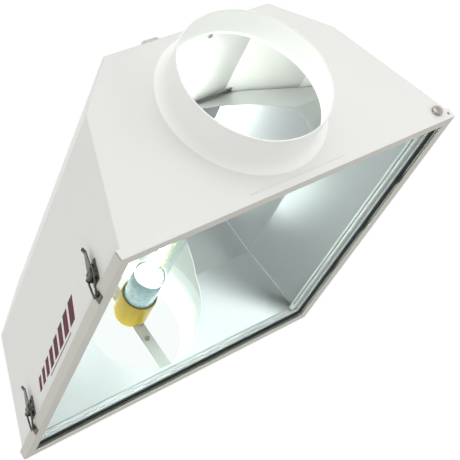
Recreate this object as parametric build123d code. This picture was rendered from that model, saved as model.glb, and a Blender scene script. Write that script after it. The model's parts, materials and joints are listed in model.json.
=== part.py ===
"""Air-cooled grow lamp: a folded reflector hood with two round duct collars, a hinged glass door,
two draw latches and a mogul-base discharge lamp on the duct axis.

Millimetres. +Z is up as the hood hangs. The origin is the centre of the rim, at the underside of
the glass door. -Y is the front duct end, +Y is the lamp-holder end, -X is the latch side and
+X is the hinge side.
"""
from build123d import *
from math import cos, hypot, radians, sin
import os

# ---------------------------------------------------------------- hood sheet metal
SHEET = 1.0                 # painted steel thickness
HOOD_LEN = 534.0            # over the outer faces of the two end panels
HOOD_TOP = 248.0            # height of the roof skin
ROOF_W = 260.0              # flat roof width
FOLD_W = 392.0              # width at the fold between side and shoulder
FOLD_Z = 183.0              # height of that fold
FOOT_Z = 14.0               # height of the foot, where the door's space ends
RIM_W = 530.0               # width over the door and the end panels' lugs
RIM_STEP = 5.0              # from there in to the foot of each sloping side
BEND_R = 2.5                # outer radius of the folds
RIM_FLANGE_X = 20.0         # inward flange along the two sides
RIM_FLANGE_Y = 14.0         # inward flange along the two ends
RIM_LIP = 8.0               # upturned lip on the flanges, flange included
LIP_END_GAP = 2.0           # the side lips stop this far before the reflector's end facets
TRAY_FLANGE = 18.0          # end panel's folded edge, under the wrap
PART_GAP = 0.3              # clearance between neighbours that don't touch
RIB_LEN = 150.0             # stiffening bead low on each end panel
RIB_Z = 11.0
RIB_H = 0.8

# ---------------------------------------------------------------- duct collars
DUCT_R = 100.0              # outer radius, for flexible duct of 8 inches
DUCT_WALL = 1.0
DUCT_Z = 130.0              # height of the duct axis
DUCT_LEN = 51.0             # how far a collar stands out
DUCT_ROOT_R = 12.0          # spun fillet where the collar meets the panel
DUCT_FLANGE = 12.0          # ring behind the panel
DUCT_BEAD = 1.2             # rolled bead inside the open rim
DUCT_BEAD_LEN = 3.0

# ---------------------------------------------------------------- reflector insert
REFL_T = 0.8                # horizontal thickness of the aluminium facets
REFL_FOOT_X = 10.0          # from the rim flange's edge out to the foot of the side facets
REFL_FOOT_Y = 13.0          # from the end wall in to the foot of the end facets
REFL_FOOT_Z = 20.0
REFL_FOLD_IN = (37.0, 42.0)     # the fold lies this far inside the foot, across and along
REFL_FOLD_Z = 122.0
REFL_TOP_IN = (122.0, 160.0)    # the same for the top
REFL_ROOF_GAP = 8.0         # from the roof down to the reflector's top
STAY_W = 12.0               # straps that hang the reflector from the shoulders
STAY_T = 1.2
STAY_LEN = 70.0             # over the reflector's top
REFL_HOLE_R = 105.0         # air way through the end facets

# ---------------------------------------------------------------- glass door
DOOR_T = 1.2                # frame sheet
DOOR_LIP = 14.0             # lip under the glass
DOOR_WALL = 9.0             # frame wall on the hinge side and the ends
DOOR_WALL_LATCH = 13.4      # frame wall on the latch side
GLASS_T = 4.8
GLASS_GAP_X = 1.8           # glass edge to frame wall
GLASS_EDGE_Y = 4.0          # glass edge to frame wall at the ends, past the hinge leaves
GASKET_W = 10.0
GASKET_IN = 19.0            # gasket's inner edge, from the rim
CLIP_W = 22.0
CLIP_T = 0.8
CLIP_Y = 120.0

# ---------------------------------------------------------------- door hinge
PIVOT_IN = 6.0              # pivot, from the rim
PIVOT_Z = 7.0
PIN_R = 2.0
PIN_FIT = 0.06              # running clearance on the radius
BRACKET_T = 2.0
LEAF_T = 2.0
HINGE_BOLT_IN = 14.0        # bolt, from the pivot towards the middle
HINGE_BOLT_Z = 16.0
HINGE_BOLT_R = 2.5
HINGE_HEAD_R = 7.5
HINGE_HEAD_H = 3.6
NUT_R = 4.6
NUT_H = 3.8
BOLT_PROUD = 1.0            # bolt end past its nut

# ---------------------------------------------------------------- draw latches
LATCH_END = 89.0            # latch centre, from the end panel's face
LATCH_BASE_W = 22.0
LATCH_BASE_T = 1.5
LATCH_BASE_U = (9.0, 36.0)  # up the side, from its foot
LATCH_PIVOT_U = 18.0
LATCH_PIVOT_N = 6.0         # out from the side
LATCH_PIN_R = 1.5
LATCH_FIT = 0.05
LATCH_EAR_T = 1.5
LATCH_EAR_R = 3.6
LATCH_EAR_GAP = 8.0         # half the space between the ears
LEVER_T = 1.4
LEVER_LEN = 37.0            # from its pivot to its tip
LEVER_TIP_RISE = 3.0
LEVER_ROOT_W = 15.0
LEVER_TIP_W = 6.4
LEVER_BOSS_R = 3.2
BAIL_ARM = 6.0              # bail pivot, up from the lever pivot
BAIL_R = 1.25               # wire radius
BAIL_BOSS_R = 2.6
BAIL_LEG = 32.0             # bail pivot to its cross bar
BAIL_STRAIGHT = 12.0        # straight part of each leg
BAIL_TOP_W = 22.0
BAIL_BAR_W = 9.0
BAIL_END = 7.5              # turned-in ends
KEEPER_W = 16.0             # plate on the frame
KEEPER_T = 1.2
KEEPER_PLATE_T = 1.0
KEEPER_GAP = 0.8            # height of the ledge over the bail's bar

# ---------------------------------------------------------------- lamp holder
SOCKET_R = 27.5
SOCKET_LEN = 58.0
SOCKET_WALL_GAP = 4.0       # from its back to the end wall's inner face
SOCKET_MOUTH_R = 25.2       # counterbore around the lamp's neck
SOCKET_MOUTH_DEPTH = 6.0
SOCKET_BORE_R = 21.6
SOCKET_BORE_DEPTH = 51.0
SLEEVE_T = 1.2              # threaded metal sleeve
SLEEVE_LEN = 36.0
STRAP_W = 20.0
STRAP_T = 2.0
STRAP_FOOT = 20.0
SCREW_R = 2.0
SCREW_HEAD_R = 4.0
SCREW_HEAD_H = 2.0
SOCKET_SCREW_PITCH = 26.0
SOCKET_SCREW_DEPTH = 5.0
EARTH_SCREW_DROP = 22.0     # under the holder

# ---------------------------------------------------------------- lamp
BULB_R = 24.0
BULB_WALL = 1.2
BULB_OUT = 245.0            # how far the bulb stands out of the holder's mouth
BULB_IN = 4.0               # how far its full width goes in
BULB_NECK_R = 18.2
BASE_R = 19.6               # mogul screw shell
BASE_T = 1.0
BASE_IN = 6.5               # front of the base, inside the holder's mouth
BASE_LEN = 35.0
INSULATOR_LEN = 4.5
CONTACT_R = 5.0
CONTACT_H = 2.0
ARC_R = 5.0
ARC_LEN = 104.0
ARC_OUT = 130.0             # its middle, out of the holder's mouth
ARC_CAP = 8.0               # niobium end caps
WIRE_R = 1.0
FRAME_X = 13.0              # frame rod, off the lamp's axis
STEM_OUT = 42.0             # stem's tip, out of the holder's mouth
BAND_W = 4.0

# ---------------------------------------------------------------- small parts on the roof
TAB_X = 45.0
TAB_SETBACK = 19.0          # from the end panel's face
TAB_W = 27.0
TAB_H = 16.0
TAB_T = 1.5
TAB_FOOT = 18.0
TAB_HOLE_R = 4.0
RIVET_R = 2.4
RIVET_HEAD_R = 4.4
RIVET_HEAD_H = 1.4
GLAND_IN = 61.0             # from the end wall
GLAND_R = 8.0
GLAND_BORE_R = 4.5
GLAND_HEX_R = 12.0
GLAND_H = 10.0
GLAND_NUT_H = 3.5
HOLE_FIT = 0.1              # clearance of a fixed screw or bush in its hole

# ---------------------------------------------------------------- worked out
END_Y = HOOD_LEN / 2                    # outer face of an end panel
WALL_Y = END_Y - SHEET                  # its inner face
RIM_X = RIM_W / 2
FOOT_W = RIM_W - 2 * RIM_STEP
PIVOT_X = RIM_X - PIVOT_IN
HINGE_BOLT_X = PIVOT_X - HINGE_BOLT_IN
LATCH_Y = END_Y - LATCH_END
GLAND_Y = WALL_Y - GLAND_IN
SOCKET_BACK_Y = WALL_Y - SOCKET_WALL_GAP
SOCKET_MOUTH_Y = SOCKET_BACK_Y - SOCKET_LEN
BULB_TIP_Y = SOCKET_MOUTH_Y - BULB_OUT
BULB_SHOULDER_Y = SOCKET_MOUTH_Y + BULB_IN
BASE_FRONT_Y = SOCKET_MOUTH_Y + BASE_IN
ARC_MID_Y = SOCKET_MOUTH_Y - ARC_OUT
STEM_TIP_Y = SOCKET_MOUTH_Y - STEM_OUT
DOOR_Y = WALL_Y - PART_GAP
GLASS_Z = DOOR_T + GLASS_T              # top of the glass
FLANGE_X = FOOT_W / 2 - RIM_FLANGE_X
FLANGE_Y = WALL_Y - RIM_FLANGE_Y
FOOT_X, FOOT_Y = FLANGE_X + REFL_FOOT_X, WALL_Y - REFL_FOOT_Y
REFL_FOOT = (FOOT_X, FOOT_Y, REFL_FOOT_Z)                                   # half sizes and height
REFL_FOLD = (FOOT_X - REFL_FOLD_IN[0], FOOT_Y - REFL_FOLD_IN[1], REFL_FOLD_Z)
REFL_TOP = (FOOT_X - REFL_TOP_IN[0], FOOT_Y - REFL_TOP_IN[1], HOOD_TOP - REFL_ROOF_GAP)
BRACKET_Y = WALL_Y - BRACKET_T          # inner face of the hinge bracket
EAR_R = RIM_X - DOOR_T - PIVOT_X        # hinge ears reach the door frame's wall
STRAP_Y = SOCKET_BACK_Y + STRAP_T
SLOPE = hypot((FOOT_W - FOLD_W) / 2, FOLD_Z - FOOT_Z)
SLOPE_UP = ((FOOT_W - FOLD_W) / 2 / SLOPE, (FOLD_Z - FOOT_Z) / SLOPE)   # along the side, left

NODES = {}


def keep(name, *solids):
    """Store one node as a group of separate solids."""
    NODES[name] = [s for item in solids for s in item.solids()]


def block(x, y, z):
    """Box between two bounds on each axis."""
    size = [hi - lo for lo, hi in (x, y, z)]
    return Pos(x[0], y[0], z[0]) * Solid.make_box(*size)


def rod(start, end, radius):
    """Round bar from one point to another."""
    start, end = Vector(*start), Vector(*end)
    along = end - start
    return Solid.make_cylinder(radius, along.length, Plane(origin=start, z_dir=along))


def prism(points, along):
    """Prism on a closed outline of points, swept along a vector."""
    face = Face(Wire.make_polygon([Vector(*p) for p in points]))
    return Solid.extrude(face, Vector(*along))


def prism_y(outline, y0, y1):
    """Prism along Y on an outline of (x, z) points."""
    return prism([(x, y0, z) for x, z in outline], (0, y1 - y0, 0))


def both_ends(shape):
    """A shape made at the front end, and its mirror image at the rear."""
    return shape, shape.mirror(Plane.XZ)


def turned(edges, x=0.0, z=DUCT_Z):
    """Solid of revolution about the line along Y through (x, z)."""
    section = make_face(edges)
    return revolve(section, axis=Axis((x, 0, z), (0, 1, 0)), revolution_arc=360)


def ring_section(points, z=DUCT_Z):
    """Edges of a closed (radius, y) outline."""
    corners = [(r, y, z) for r, y in points]
    return [Polyline(*corners, close=True)]


def turned_points(points, x=0.0, z=DUCT_Z):
    """Solid of revolution on straight (radius, y) sides."""
    return turned(ring_section([(x + r, y) for r, y in points], z), x, z)


def hull_of_two(x0, z0, r0, x1, z1, r1, y0, y1):
    """Plate between y0 and y1 that wraps two circles."""
    plate = rod((x0, y0, z0), (x0, y1, z0), r0) + rod((x1, y0, z1), (x1, y1, z1), r1)
    dx, dz = x1 - x0, z1 - z0
    span = hypot(dx, dz)
    nx, nz = -dz / span, dx / span
    web = [(x0 + nx * r0, z0 + nz * r0), (x1 + nx * r1, z1 + nz * r1),
           (x1 - nx * r1, z1 - nz * r1), (x0 - nx * r0, z0 - nz * r0)]
    return plate + prism_y(web, y0, y1)


# ---------------------------------------------------------------- hood
def slope_x(z, inset):
    """Half width of the sloping side at a height, a distance in from its outer skin."""
    run = (FOOT_W - FOLD_W) / (FOLD_Z - FOOT_Z) / 2
    return FOOT_W / 2 - run * (z - FOOT_Z) - inset * hypot(1, run)


def shoulder_x(z, inset):
    """Half width of the shoulder at a height, a distance in from its outer skin."""
    run = (FOLD_W - ROOF_W) / (HOOD_TOP - FOLD_Z) / 2
    return FOLD_W / 2 - run * (z - FOLD_Z) - inset * hypot(1, run)


def half_outline(foot_z, inset):
    """Right half of the hood's cross-section from the foot up, inset from the outer skin."""
    a_run = (FOOT_W - FOLD_W) / (FOLD_Z - FOOT_Z) / 2
    b_run = (FOLD_W - ROOF_W) / (HOOD_TOP - FOLD_Z) / 2
    gap = shoulder_x(FOLD_Z, inset) - slope_x(FOLD_Z, inset)
    fold_z = FOLD_Z + gap / (b_run - a_run)
    top_z = HOOD_TOP - inset
    return [(slope_x(foot_z, inset), foot_z), (slope_x(fold_z, inset), fold_z),
            (shoulder_x(top_z, inset), top_z)]


def outline(foot_z, inset):
    """Closed cross-section of the hood."""
    right = half_outline(foot_z, inset)
    return right + [(-x, z) for x, z in reversed(right)]


def fold_edges(solid, points):
    """The edges along Y that pass through the given (x, z) points."""
    picked = []
    for edge in solid.edges().filter_by(Axis.Y):
        mid = edge @ 0.5
        if any(hypot(mid.X - x, mid.Z - z) < 0.01 for x, z in points):
            picked.append(edge)
    return picked


def bent_wrap():
    """Folded skin: roof, shoulders and sides, with inward flanges and upturned lips."""
    outer = outline(FOOT_Z, 0)
    skin = prism_y(outer, -END_Y, END_Y) - prism_y(outline(FOOT_Z - 1, SHEET), -END_Y, END_Y)
    skin = skin.solid()
    skin = skin.fillet(BEND_R, fold_edges(skin, outer[1:5]))
    lip_y = REFL_FOOT[1] - LIP_END_GAP
    nut_y = BRACKET_Y - NUT_H - BOLT_PROUD - PART_GAP
    for side, side_y in ((-1, WALL_Y), (1, nut_y)):
        xs = sorted((side * FLANGE_X, side * slope_x(FOOT_Z + SHEET, 0)))
        skin += block(xs, (-side_y, side_y), (FOOT_Z, FOOT_Z + SHEET))
        xs = sorted((side * FLANGE_X, side * (FLANGE_X + SHEET)))
        skin += block(xs, (-lip_y, lip_y), (FOOT_Z, FOOT_Z + RIM_LIP))
    for tab_x, tab_y in tab_places():
        skin -= rod((tab_x, tab_y, HOOD_TOP - 5), (tab_x, tab_y, HOOD_TOP + 5), RIVET_R + HOLE_FIT)
    skin -= rod((0, GLAND_Y, HOOD_TOP - 5), (0, GLAND_Y, HOOD_TOP + 5), GLAND_R + HOLE_FIT)
    top_y = bracket_screw_y()
    skin -= rod((0, top_y, HOOD_TOP - 5), (0, top_y, HOOD_TOP + 5), SCREW_R + HOLE_FIT)
    for y in (-LATCH_Y, LATCH_Y):
        for rivet in latch_rivets(y, HOLE_FIT):
            skin -= rivet
    return skin


def end_tray():
    """Front end panel: a flat face with edges folded in under the wrap."""
    inside = outline(FOOT_Z, SHEET)
    face = prism_y(inside, -END_Y, -WALL_Y)
    lug_top = FOOT_Z - PART_GAP
    lug_x = slope_x(lug_top, SHEET)
    skirt = [(-RIM_X, 0), (RIM_X, 0), (RIM_X, lug_top), (lug_x, lug_top),
             (inside[0][0], FOOT_Z), (-inside[0][0], FOOT_Z), (-lug_x, lug_top), (-RIM_X, lug_top)]
    face += prism_y(skirt, -END_Y, -WALL_Y)
    edge_z = FOOT_Z + SHEET + PART_GAP
    edge = prism_y(outline(edge_z, SHEET), -WALL_Y, -WALL_Y + TRAY_FLANGE)
    edge -= prism_y(outline(edge_z - 1, 2 * SHEET), -WALL_Y, -WALL_Y + TRAY_FLANGE)
    tray = face + edge
    flange_x = bracket_inner_x() - PART_GAP
    xs = (-FLANGE_X + PART_GAP, min(flange_x, FLANGE_X - PART_GAP))
    tray += block(xs, (-WALL_Y, -FLANGE_Y), (FOOT_Z, FOOT_Z + SHEET))
    tray += block(xs, (-FLANGE_Y - SHEET, -FLANGE_Y), (FOOT_Z, REFL_FOOT_Z - PART_GAP))
    hole_r = DUCT_R + DUCT_ROOT_R
    tray -= rod((0, -END_Y - 5, DUCT_Z), (0, -WALL_Y + 1, DUCT_Z), hole_r)
    tray -= rod((PIVOT_X, -END_Y - 5, PIVOT_Z), (PIVOT_X, -WALL_Y + 1, PIVOT_Z), PIN_R + PIN_FIT)
    bolt = (HINGE_BOLT_X, -END_Y - 5, HINGE_BOLT_Z), (HINGE_BOLT_X, -WALL_Y + 1, HINGE_BOLT_Z)
    tray -= rod(*bolt, HINGE_BOLT_R + HOLE_FIT)
    bead = rod((-RIB_LEN / 2, -END_Y, RIB_Z), (RIB_LEN / 2, -END_Y, RIB_Z), RIB_H)
    bead &= block((-RIB_LEN, RIB_LEN), (-END_Y - 5, -END_Y), (0, FOOT_Z))
    return tray + bead


def collar():
    """Front duct collar: spun tube with a beaded rim, a filleted root and a ring inside."""
    tip, root = -END_Y - DUCT_LEN, -END_Y - DUCT_ROOT_R
    r_in, r_bead = DUCT_R - DUCT_WALL, DUCT_R - DUCT_WALL - DUCT_BEAD
    r_face = DUCT_R + DUCT_ROOT_R
    ring_r, ring_y = r_face + DUCT_FLANGE, -WALL_Y + DUCT_WALL
    lip = DUCT_WALL * 0.7
    bend, back = DUCT_ROOT_R, root - ring_y
    diag = cos(radians(45))
    z = DUCT_Z
    r_open = r_in - back
    edges = [
        Line((DUCT_R, tip + lip, z), (DUCT_R, root, z)),
        ThreePointArc((DUCT_R, root, z), (r_face - bend * diag, root + bend * diag, z),
                      (r_face, -END_Y, z)),
        Line((r_face, -END_Y, z), (r_face, -WALL_Y, z)),
        Line((r_face, -WALL_Y, z), (ring_r, -WALL_Y, z)),
        Line((ring_r, -WALL_Y, z), (ring_r, ring_y, z)),
        Line((ring_r, ring_y, z), (r_open, ring_y, z)),
        ThreePointArc((r_open, ring_y, z), (r_open + back * diag, root - back * diag, z),
                      (r_in, root, z)),
        Line((r_in, root, z), (r_in, tip + DUCT_BEAD_LEN + DUCT_BEAD, z)),
        Line((r_in, tip + DUCT_BEAD_LEN + DUCT_BEAD, z), (r_bead, tip + DUCT_BEAD_LEN, z)),
        Line((r_bead, tip + DUCT_BEAD_LEN, z), (r_bead, tip + lip, z)),
        ThreePointArc((r_bead, tip + lip, z), (r_bead + lip * (1 - diag), tip + lip * (1 - diag), z),
                      (r_bead + lip, tip, z)),
        Line((r_bead + lip, tip, z), (DUCT_R - lip, tip, z)),
        ThreePointArc((DUCT_R - lip, tip, z), (DUCT_R - lip * (1 - diag), tip + lip * (1 - diag), z),
                      (DUCT_R, tip + lip, z)),
    ]
    body = turned(edges)
    room = prism_y(outline(FOOT_Z + SHEET + PART_GAP, 2 * SHEET + PART_GAP), -WALL_Y, 0)
    room += block((-RIM_W, RIM_W), (tip - 5, -WALL_Y), (-RIM_W, RIM_W))
    return body & room


def make_hood():
    keep("hood_shell", bent_wrap())
    front, rear = both_ends(end_tray())
    screw_y = bracket_screw_y()
    rear -= rod((0, screw_y, HOOD_TOP - 5), (0, screw_y, HOOD_TOP), SCREW_R + HOLE_FIT)
    keep("end_panel_front", front)
    keep("end_panel_rear", rear)
    for name, shape in zip(("duct_collar_front", "duct_collar_rear"), both_ends(collar())):
        keep(name, shape)


# ---------------------------------------------------------------- reflector insert
def facet(low, high, side):
    """Flat sheet between two levels, mitred at its ends. side is +X, -X, +Y or -Y."""
    def corner(level, end, out):
        x, y = level[0] + out, level[1] + out
        if side[0]:
            return Vector(side[0] * x, end * y, level[2])
        return Vector(end * x, side[1] * y, level[2])

    quads = []
    for out in (0.0, REFL_T):
        quads.append([corner(low, -1, out), corner(low, 1, out),
                      corner(high, 1, out), corner(high, -1, out)])
    faces = [Face(Wire.make_polygon(q)) for q in quads]
    for i in range(4):
        j = (i + 1) % 4
        ring = [quads[0][i], quads[0][j], quads[1][j], quads[1][i]]
        faces.append(Face(Wire.make_polygon(ring)))
    sheet = Solid(Shell(faces))
    return sheet if sheet.volume > 0 else Solid(sheet.wrapped.Reversed())


def make_reflector():
    for name, side in (("left", (-1, 0)), ("right", (1, 0))):
        keep("reflector_side_" + name,
             facet(REFL_FOOT, REFL_FOLD, side) + facet(REFL_FOLD, REFL_TOP, side))
    air_way = rod((0, -END_Y, DUCT_Z), (0, END_Y, DUCT_Z), REFL_HOLE_R)
    for name, side in (("front", (0, -1)), ("rear", (0, 1))):
        panel = facet(REFL_FOOT, REFL_FOLD, side) + facet(REFL_FOLD, REFL_TOP, side)
        keep("reflector_end_" + name, panel - air_way)
    half_x, half_y, top_z = REFL_TOP
    keep("reflector_top", block((-half_x - REFL_T, half_x + REFL_T),
                                (-half_y - REFL_T, half_y + REFL_T), (top_z, top_z + REFL_T)))
    stays = []
    inside = prism_y(outline(FOOT_Z, SHEET), -WALL_Y, WALL_Y)
    for side in (-1, 1):
        xs = sorted((side * (half_x - STAY_LEN), side * RIM_X))
        for end in (-1, 1):
            ys = sorted((end * (half_y - STAY_W / 2), end * (half_y + STAY_W / 2)))
            stays.append(block(xs, ys, (top_z + REFL_T, top_z + REFL_T + STAY_T)) & inside)
    keep("reflector_stays", *stays)


# ---------------------------------------------------------------- glass door
def door_rail_side(side, wall):
    """Long rail of the door frame with mitred lip, on the +X or -X side."""
    end_y = BRACKET_Y - PART_GAP
    lip = [(side * RIM_X, -DOOR_Y, 0), (side * RIM_X, DOOR_Y, 0),
           (side * (RIM_X - DOOR_LIP), DOOR_Y - DOOR_LIP, 0),
           (side * (RIM_X - DOOR_LIP), -DOOR_Y + DOOR_LIP, 0)]
    rail = prism(lip, (0, 0, DOOR_T))
    xs = sorted((side * (RIM_X - DOOR_T), side * RIM_X))
    return rail + block(xs, (-end_y, end_y), (0, wall))


def door_rail_end():
    """Front rail of the door frame with mitred lip; its wall stops short of the hinge."""
    lip = [(-RIM_X, -DOOR_Y, 0), (RIM_X, -DOOR_Y, 0),
           (RIM_X - DOOR_LIP, -DOOR_Y + DOOR_LIP, 0), (-RIM_X + DOOR_LIP, -DOOR_Y + DOOR_LIP, 0)]
    rail = prism(lip, (0, 0, DOOR_T))
    wall_x = (-RIM_X + DOOR_T + PART_GAP, bracket_inner_x() - 2 * PART_GAP)
    return rail + block(wall_x, (-DOOR_Y, -DOOR_Y + DOOR_T), (0, DOOR_WALL))


def gasket():
    """Square ring of soft seal on the glass."""
    out_x, out_y = RIM_X - GASKET_IN + GASKET_W, DOOR_Y - GASKET_IN + GASKET_W
    top = FOOT_Z - PART_GAP
    ring = block((-out_x, out_x), (-out_y, out_y), (GLASS_Z, top))
    in_x, in_y = out_x - GASKET_W, out_y - GASKET_W
    return ring - block((-in_x, in_x), (-in_y, in_y), (GLASS_Z - 1, top + 1))


def glass_clip(side, y):
    """Bent strip that holds the glass down beside the gasket."""
    wall = side * (RIM_X - DOOR_T)
    edge = side * (RIM_X - GASKET_IN + GASKET_W + PART_GAP)
    foot_x = sorted((edge, wall))
    stem_x = sorted((wall - side * CLIP_T, wall))
    ys = (y - CLIP_W / 2, y + CLIP_W / 2)
    foot = block(foot_x, ys, (GLASS_Z, GLASS_Z + CLIP_T))
    return foot + block(stem_x, ys, (GLASS_Z, DOOR_WALL))


def make_door():
    keep("door_rail_left", door_rail_side(-1, DOOR_WALL_LATCH))
    keep("door_rail_right", door_rail_side(1, DOOR_WALL))
    for name, shape in zip(("door_rail_front", "door_rail_rear"), both_ends(door_rail_end())):
        keep(name, shape)
    glass_x = RIM_X - DOOR_T - GLASS_GAP_X
    glass_y = DOOR_Y - DOOR_T - GLASS_EDGE_Y
    pane = block((-glass_x, glass_x), (-glass_y, glass_y), (DOOR_T, GLASS_Z))
    keep("glass_pane", pane.chamfer(0.6, None, pane.edges().filter_by(Axis.Z)))
    keep("door_gasket", gasket())
    keep("glass_clips", *[glass_clip(s, y) for s in (-1, 1) for y in (-CLIP_Y, 0, CLIP_Y)])


# ---------------------------------------------------------------- door hinge
def bracket_inner_x():
    """Where the hinge bracket begins, seen from the middle of the hood."""
    return HINGE_BOLT_X - HINGE_HEAD_R


def hinge_bracket():
    """Front hinge bracket on the end panel: a plate with a bored ear."""
    plate = hull_of_two(HINGE_BOLT_X, HINGE_BOLT_Z, HINGE_HEAD_R, PIVOT_X, PIVOT_Z, EAR_R,
                        -WALL_Y, -BRACKET_Y)
    plate -= rod((PIVOT_X, -WALL_Y - 1, PIVOT_Z), (PIVOT_X, -BRACKET_Y + 1, PIVOT_Z), PIN_R + PIN_FIT)
    bolt = (HINGE_BOLT_X, -WALL_Y - 1, HINGE_BOLT_Z), (HINGE_BOLT_X, -BRACKET_Y + 1, HINGE_BOLT_Z)
    return plate - rod(*bolt, HINGE_BOLT_R + HOLE_FIT)


def hinge_leaf():
    """Front hinge leaf on the door: stands on the lip and holds the pin."""
    outer = -BRACKET_Y + PART_GAP
    leaf = rod((PIVOT_X, outer, PIVOT_Z), (PIVOT_X, outer + LEAF_T, PIVOT_Z), EAR_R)
    foot = [(PIVOT_X - 2 * EAR_R, DOOR_T), (RIM_X - DOOR_T, DOOR_T),
            (RIM_X - DOOR_T, PIVOT_Z), (PIVOT_X - EAR_R, PIVOT_Z)]
    leaf += prism_y(foot, outer, outer + LEAF_T)
    return leaf - rod((PIVOT_X, outer - 1, PIVOT_Z), (PIVOT_X, outer + LEAF_T + 1, PIVOT_Z), PIN_R)


def make_hinge():
    for name, shape in zip(("hinge_bracket_front", "hinge_bracket_rear"), both_ends(hinge_bracket())):
        keep(name, shape)
    for name, shape in zip(("hinge_leaf_front", "hinge_leaf_rear"), both_ends(hinge_leaf())):
        keep(name, shape)
    pin_in = -BRACKET_Y + PART_GAP + LEAF_T
    keep("hinge_pins", *both_ends(rod((PIVOT_X, -END_Y, PIVOT_Z), (PIVOT_X, pin_in, PIVOT_Z), PIN_R)))
    x, z = HINGE_BOLT_X, HINGE_BOLT_Z
    nut_in = -BRACKET_Y + NUT_H
    bolt = rod((x, -END_Y, z), (x, nut_in + BOLT_PROUD, z), HINGE_BOLT_R)
    head = rod((x, -END_Y - HINGE_HEAD_H, z), (x, -END_Y, z), HINGE_HEAD_R)
    rim = head.edges().group_by(Axis.Y)[0]
    head = head.fillet(1.0, rim)
    slot = block((x - HINGE_HEAD_R, x + HINGE_HEAD_R), (-END_Y - HINGE_HEAD_H, -END_Y - HINGE_HEAD_H + 1.2),
                 (z - 0.7, z + 0.7))
    keep("hinge_bolts", *both_ends(bolt + head - slot))
    hexagon = [(x + NUT_R * cos(radians(60 * i)), z + NUT_R * sin(radians(60 * i))) for i in range(6)]
    nut = prism_y(hexagon, -BRACKET_Y, nut_in) - rod((x, -BRACKET_Y, z), (x, nut_in, z), HINGE_BOLT_R)
    keep("hinge_nuts", *both_ends(nut))


# ---------------------------------------------------------------- draw latches
def on_side(u, n, y):
    """Point on the latch side: u up the slope from its foot, n out from its skin."""
    up_x, up_z = SLOPE_UP
    return (-FOOT_W / 2 + up_x * u - up_z * n, y, FOOT_Z + up_z * u + up_x * n)


def side_prism(points, y0, y1):
    """Prism across the side on an outline of (u, n) points."""
    return prism([on_side(u, n, y0) for u, n in points], (0, y1 - y0, 0))


def side_plate(points, n0, n1, y):
    """Plate parallel to the side on an outline of (u, across) points."""
    up_x, up_z = SLOPE_UP
    thick = n1 - n0
    return prism([on_side(u, n0, y + v) for u, v in points], (-up_z * thick, 0, up_x * thick))


def rectangle(u0, u1, half):
    return [(u0, -half), (u1, -half), (u1, half), (u0, half)]


def latch_rivets(y, grow=0.0):
    """Two rivets through a latch base and the side."""
    out = []
    for u in (LATCH_BASE_U[0] + 4.0, LATCH_BASE_U[1] - 4.0):
        low, mid = on_side(u, -SHEET - 1.0, y), on_side(u, LATCH_BASE_T, y)
        high = on_side(u, LATCH_BASE_T + 1.0, y)
        rivet = rod(low, high, 1.6 + grow)
        if not grow:
            rivet += rod(mid, high, 2.6) + rod(on_side(u, -SHEET, y), low, 2.4)
        out.append(rivet)
    return out


def latch_base(y):
    u0, u1 = LATCH_BASE_U
    base = side_plate(rectangle(u0, u1, LATCH_BASE_W / 2), 0, LATCH_BASE_T, y)
    pu, pn = LATCH_PIVOT_U, LATCH_PIVOT_N
    for side in (-1, 1):
        y0, y1 = sorted((y + side * LATCH_EAR_GAP, y + side * (LATCH_EAR_GAP + LATCH_EAR_T)))
        ear = rod(on_side(pu, pn, y0), on_side(pu, pn, y1), LATCH_EAR_R)
        neck = [(pu - LATCH_EAR_R, 0), (pu + LATCH_EAR_R, 0), (pu + LATCH_EAR_R, pn), (pu - LATCH_EAR_R, pn)]
        base += ear + side_prism(neck, y0, y1)
    base -= rod(on_side(pu, pn, y - 20), on_side(pu, pn, y + 20), LATCH_PIN_R)
    for rivet in latch_rivets(y, HOLE_FIT):
        base -= rivet
    return base


def latch_lever(y):
    """Tapered lever with a curled tip and two bosses."""
    pu, pn = LATCH_PIVOT_U, LATCH_PIVOT_N
    tip = pu + LEVER_LEN
    root_w, tip_w = LEVER_ROOT_W / 2, LEVER_TIP_W / 2
    n0, n1 = pn - LEVER_T / 2, pn + LEVER_T / 2
    shape = [(pu, -root_w), (pu + 10, -root_w), (tip - 5, -tip_w), (tip - 5, tip_w),
             (pu + 10, root_w), (pu, root_w)]
    lever = side_plate(shape, n0, n1, y)
    curl = [(tip - 5.5, n0), (tip - 5, n0), (tip, n0 + LEVER_TIP_RISE), (tip, n1 + LEVER_TIP_RISE),
            (tip - 5.5, n1)]
    lever += side_prism(curl, y - tip_w, y + tip_w)
    half = root_w
    lever += rod(on_side(pu, pn, y - half), on_side(pu, pn, y + half), LEVER_BOSS_R)
    bu = pu + BAIL_ARM
    lever += rod(on_side(bu, pn, y - half), on_side(bu, pn, y + half), BAIL_BOSS_R)
    lever -= rod(on_side(pu, pn, y - 20), on_side(pu, pn, y + 20), LATCH_PIN_R + LATCH_FIT)
    return lever - rod(on_side(bu, pn, y - 20), on_side(bu, pn, y + 20), BAIL_R + LATCH_FIT)


def latch_bail(y):
    """Bent wire: ends turned into the lever, straight legs that then draw in to a cross bar."""
    bu, pn = LATCH_PIVOT_U + BAIL_ARM, LATCH_PIVOT_N
    top, bar = BAIL_TOP_W / 2, BAIL_BAR_W / 2
    knee = bu - BAIL_STRAIGHT
    low = bu - BAIL_LEG
    half = [(bu, top - BAIL_END), (bu, top), (knee, top), (low, bar)]
    path = half + [(u, -v) for u, v in reversed(half)]
    wire = None
    for (u0, v0), (u1, v1) in zip(path, path[1:]):
        piece = rod(on_side(u0, pn, y + v0), on_side(u1, pn, y + v1), BAIL_R)
        wire = piece if wire is None else wire + piece
    for u, v in path[1:-1]:
        wire += Pos(*on_side(u, pn, y + v)) * Solid.make_sphere(BAIL_R, angle1=-90, angle2=90)
    return wire


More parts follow.
